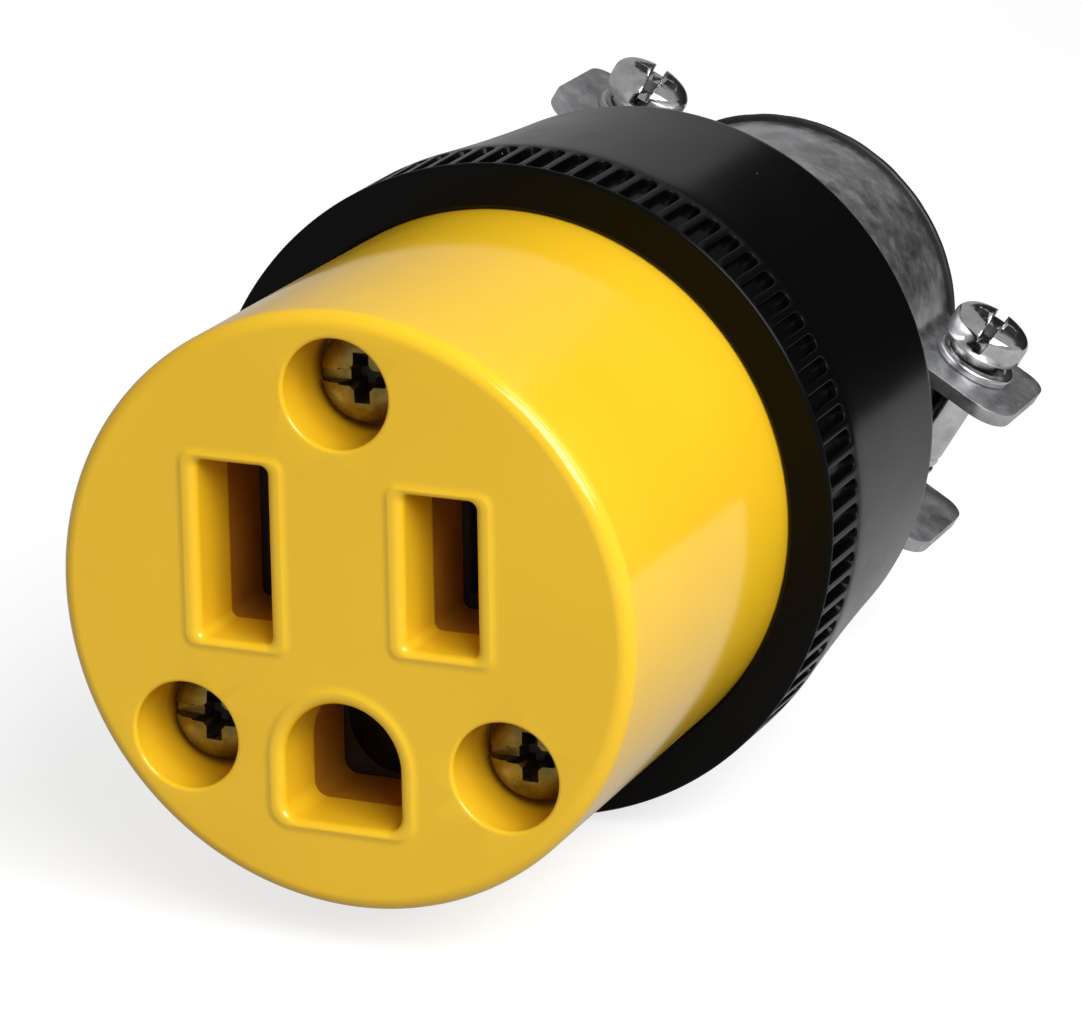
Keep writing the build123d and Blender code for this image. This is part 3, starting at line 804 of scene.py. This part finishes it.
def clamp_sheet(side, mate):
    """The middle surface of a stamped half: arch, bends, ears and flange."""
    middle = ARCH_RADIUS - SHEET / 2
    centre = mate - ARCH_SINK
    ear_rise = mate + SHEET / 2
    bend = BEND_RADIUS + SHEET / 2
    lift = ear_rise + bend - centre
    bend_x = sqrt((middle + bend) ** 2 - lift ** 2)
    tangent = atan2(lift, bend_x)
    skirt_foot = asin(ARCH_SINK / middle)
    bm = bmesh.new()

    def grid(columns):
        """Quads between columns of points, each column a list of (across, rise, depth)."""
        made = [ring(bm, [clamp_place(side, *point) for point in column]) for column in columns]
        for first, second in zip(made, made[1:]):
            for row in range(len(first) - 1):
                bm.faces.new((first[row], first[row + 1], second[row + 1], second[row]))

    front_rows = spread(FLANGE_DEPTH, EAR_START, 6)
    ear_rows = spread(EAR_START, METAL_END, 12)

    def arch_point(angle):
        return middle * cos(angle), centre + middle * sin(angle)

    turns = spread(tangent, pi - tangent, 56)
    grid([[(*arch_point(turn), depth) for depth in front_rows + ear_rows[1:]] for turn in turns])
    for mirror in (1, -1):
        skirt = spread(skirt_foot, tangent, 3)
        grid([[(mirror * arch_point(turn)[0], arch_point(turn)[1], depth) for depth in front_rows]
              for turn in skirt])
        bends = spread(tangent + pi, 1.5 * pi, 8)
        grid([[(mirror * (bend_x + bend * cos(turn)), ear_rise + bend + bend * sin(turn), depth)
               for depth in ear_rows] for turn in bends])
        corner_start = EAR_REACH - EAR_NEAR_CORNER
        reach = spread(bend_x, corner_start, 4)[:-1]
        reach += [corner_start + EAR_NEAR_CORNER * sin(turn) for turn in quarter(12)]
        columns = []
        for across in reach:
            near = max(0, across - EAR_REACH + EAR_NEAR_CORNER)
            far = max(0, across - EAR_REACH + EAR_FAR_CORNER)
            start = EAR_START + EAR_NEAR_CORNER - sqrt(max(0, EAR_NEAR_CORNER ** 2 - near ** 2))
            end = METAL_END - EAR_FAR_CORNER + sqrt(max(0, EAR_FAR_CORNER ** 2 - far ** 2))
            columns.append([(mirror * across, ear_rise, depth) for depth in spread(start, end, 12)])
        grid(columns)
    flange = []
    flange_turns = spread(skirt_foot, tangent, 3)[:-1] + turns
    for turn in flange_turns + spread(pi - tangent, pi - skirt_foot, 3)[1:]:
        across, rise = arch_point(turn)
        reach = hypot(across, rise)
        flange.append([(across, rise, FLANGE_DEPTH),
                       (across * FLANGE_RADIUS / reach, rise * FLANGE_RADIUS / reach, FLANGE_DEPTH)])
    grid(flange)
    return bm


def guard_shape(side, mate):
    """A strip with an L section swept round the arch, its ends cut level with the mating plane."""
    inner = ARCH_RADIUS - SHEET - GUARD
    lip = METAL_END + GUARD
    outer = ARCH_RADIUS + GUARD_OVERHANG
    section = [(ARCH_RADIUS - SHEET, METAL_END), (outer - 0.1, METAL_END), (outer, METAL_END + 0.1)]
    section += [(outer - GUARD_EDGE * (1 - cos(turn)), lip - GUARD_EDGE * (1 - sin(turn)))
                for turn in quarter(4)]
    section += [(inner + GUARD_EDGE * (1 - sin(turn)), lip - GUARD_EDGE * (1 - cos(turn)))
                for turn in quarter(4)]
    section += [(inner, METAL_END - GUARD_LENGTH), (ARCH_RADIUS - SHEET, METAL_END - GUARD_LENGTH)]
    bm = bmesh.new()
    steps = 72
    rings = []
    for step in range(steps + 1):
        points = []
        for radius, depth in section:
            foot = asin(ARCH_SINK / radius)
            turn = foot + (pi - 2 * foot) * step / steps
            wobble = 0.05 * noise.noise(Vector((radius * cos(turn), radius * sin(turn), depth)) * 0.9)
            away = radius + (min(0, wobble) if depth > METAL_END - 0.1 and radius > inner + 0.3 else 0)
            rise = mate - ARCH_SINK + away * sin(turn)
            points.append(clamp_place(side, away * cos(turn), rise, depth))
        rings.append(points)
    first, last = stack(bm, rings)
    fill(bm, first)
    fill(bm, last)
    return bm


for name, side, mate in (("upper", 1, UPPER_LEVEL), ("lower", -1, LOWER_LEVEL)):
    half = piece(f"cord_clamp_{name}", clamp_sheet(side, mate))
    solid = half.modifiers.new("sheet", "SOLIDIFY")
    solid.thickness = SHEET * MM
    solid.offset = 0
    solid.use_even_offset = True
    bake(half)
    drills = []
    tubes = bmesh.new()
    for across in (-CLAMP_SCREW_SIDE, CLAMP_SCREW_SIDE):
        matrix = frame_matrix(CLAMP_ACROSS * side, Vector((0, 1, 0)), CLAMP_UP * side,
                              clamp_place(side, across, mate, CLAMP_SCREW_DEPTH))
        if side < 0:
            # The drawn collar that the screw threads into, with its foot inside the sheet
            radius, height = COLLAR
            bore = CLAMP_SHANK + 0.02
            turned(tubes, [(bore, 0.05), (radius + 0.4, 0.05), (radius + 0.4, SHEET - 0.05),
                           (radius + 0.3, SHEET + 0.05), (radius + 0.1, SHEET + 0.12),
                           (radius, SHEET + 0.35), (radius, SHEET + height - 0.15),
                           (radius - 0.15, SHEET + height), (bore, SHEET + height), (bore, 0.05)],
                   matrix)
        bm = bmesh.new()
        turned(bm, [(0, -1), (SHANK_HOLE, -1), (SHANK_HOLE, 4), (0, 4)], matrix)
        drills.append(piece("tool", bm))
    combine(half, drills, "DIFFERENCE")
    round_edges(half, 0.16, 3, 55)
    merge(half, piece("tool", tubes))
    dress(half, f"clamp_{name}", ZINC, 40)
    guard = piece(f"guard_{name}", guard_shape(side, mate))
    dress(guard, f"edge_guard_{name}", RUBBER)


# Pieces inside that keep their CAD shape
for node, material in (
        ("guide_plate", SHADED_GUIDE), ("contact_carrier", CARRIER),
        ("neutral_contact", BRASS), ("hot_contact", BRASS), ("ground_contact", BRASS),
        ("neutral_terminal_screw", BRASS), ("hot_terminal_screw", BRASS),
        ("ground_terminal_screw", BRASS), ("threaded_insert_top", BRASS),
        ("threaded_insert_left", BRASS), ("threaded_insert_right", BRASS),
        ("neutral_wire_plate", WASHER_STEEL), ("hot_wire_plate", WASHER_STEEL),
        ("ground_wire_plate", WASHER_STEEL)):
    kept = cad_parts[node]
    kept.data.materials.clear()
    kept.data.materials.append(material)


# Studio

PAPER = 0.36
FLOOR_GLOW = 0.74
MIRROR_GLOW = 0.2
FLOOR_SIZE = 4000.0
SKY_LIGHT = 0.27
SKY_MIRRORED = 0.38


def floor_material():
    """Pale paper: it takes the object's shadow, shows white to the eye and light in reflections."""
    material = bpy.data.materials.new("studio_floor")
    material.use_nodes = True
    tree = material.node_tree
    tree.nodes.clear()
    output = tree.nodes.new("ShaderNodeOutputMaterial")
    paper = tree.nodes.new("ShaderNodeBsdfDiffuse")
    paper.inputs["Color"].default_value = (PAPER, PAPER, PAPER, 1)
    glow = tree.nodes.new("ShaderNodeEmission")
    path = tree.nodes.new("ShaderNodeLightPath")
    mirrored = tree.nodes.new("ShaderNodeMath")
    mirrored.operation = "MAXIMUM"
    tree.links.new(path.outputs["Is Glossy Ray"], mirrored.inputs[0])
    tree.links.new(path.outputs["Is Transmission Ray"], mirrored.inputs[1])
    seen = tree.nodes.new("ShaderNodeMath")
    seen.operation = "MULTIPLY"
    seen.inputs[1].default_value = FLOOR_GLOW
    tree.links.new(path.outputs["Is Camera Ray"], seen.inputs[0])
    level = tree.nodes.new("ShaderNodeMath")
    level.operation = "MULTIPLY_ADD"
    level.inputs[1].default_value = MIRROR_GLOW
    tree.links.new(mirrored.outputs[0], level.inputs[0])
    tree.links.new(seen.outputs[0], level.inputs[2])
    tree.links.new(level.outputs[0], glow.inputs["Strength"])
    both = tree.nodes.new("ShaderNodeAddShader")
    tree.links.new(paper.outputs[0], both.inputs[0])
    tree.links.new(glow.outputs[0], both.inputs[1])
    tree.links.new(both.outputs[0], output.inputs["Surface"])
    return material


bm = bmesh.new()
half_floor = FLOOR_SIZE / 2
bm.faces.new(ring(bm, [Vector((x * half_floor, y * half_floor, 0))
                       for x, y in ((-1, -1), (1, -1), (1, 1), (-1, 1))]))
floor = piece("studio_floor", bm)
floor.data.materials.append(floor_material())


def light(name, azimuth, elevation, distance, width, height, power):
    """A soft box that faces the object. Azimuth 0 is behind it, 90 on its right; distance in metres."""
    turn, lift = radians(azimuth), radians(elevation)
    away = Vector((sin(turn) * cos(lift), cos(turn) * cos(lift), sin(lift))) * distance
    data = bpy.data.lights.new(name, "AREA")
    data.shape = "RECTANGLE"
    data.size = width
    data.size_y = height
    data.energy = power
    lamp = bpy.data.objects.new(name, data)
    lamp.location = away + AXIS_POINT * MM
    lamp.rotation_euler = away.to_track_quat("Z", "Y").to_euler()
    bpy.context.scene.collection.objects.link(lamp)


light("key", 92, 44, 1.1, 0.8, 0.8, 5.4)
light("front", 130, 36, 1.2, 0.7, 0.7, 12.8)

# Dark cards behind on the right, which the black plastic and the metal mirror
for name, distance, first_turn, last_turn, height in (("dark_card", 900, -6, 30, 440),
                                                      ("low_card", 200, 2, 36, 85)):
    bm = bmesh.new()
    ends = [Vector((distance * sin(turn), FACE_Y + distance * cos(turn), 0))
            for turn in (radians(first_turn), radians(last_turn))]
    lift = Vector((0, 0, height))
    bm.faces.new(ring(bm, [ends[0], ends[1], ends[1] + lift, ends[0] + lift]))
    card = piece(name, bm)
    card.data.materials.append(dull_plastic(f"{name}_black", linear(4, 4, 4), linear(6, 6, 6), 4))

world = bpy.data.worlds.new("studio")
bpy.context.scene.world = world
world.use_nodes = True
world_tree = world.node_tree
world_tree.nodes["Background"].inputs["Color"].default_value = (1, 1, 1, 1)
mirrored = world_tree.nodes.new("ShaderNodeMapRange")
mirrored.inputs["To Min"].default_value = SKY_LIGHT
mirrored.inputs["To Max"].default_value = SKY_MIRRORED
world_path = world_tree.nodes.new("ShaderNodeLightPath")
world_tree.links.new(world_path.outputs["Is Glossy Ray"], mirrored.inputs[0])
world_tree.links.new(mirrored.outputs[0], world_tree.nodes["Background"].inputs["Strength"])

# Camera
CAMERA_PLACE = Vector((125.1, -263.4, 97.7)) * MM
CAMERA_RIGHT = Vector((0.9210, 0.3894, -0.0142))
CAMERA_BACK = Vector((0.3754, -0.8768, 0.3006))
SENSOR = 36.0
FOCAL_PIXELS = 5500
PICTURE_WIDTH = 1082
camera_data = bpy.data.cameras.new("camera")
camera_data.sensor_width = SENSOR
camera_data.lens = SENSOR * FOCAL_PIXELS / PICTURE_WIDTH
camera_data.clip_start = 0.01
camera_data.clip_end = 20
camera = bpy.data.objects.new("camera", camera_data)
back = CAMERA_BACK.normalized()
right = (CAMERA_RIGHT - back * CAMERA_RIGHT.dot(back)).normalized()
camera.matrix_world = frame_matrix(right, back.cross(right), back, CAMERA_PLACE + AXIS_POINT * MM)
bpy.context.scene.collection.objects.link(camera)
bpy.context.scene.camera = camera
bpy.context.scene.view_settings.view_transform = "Standard"
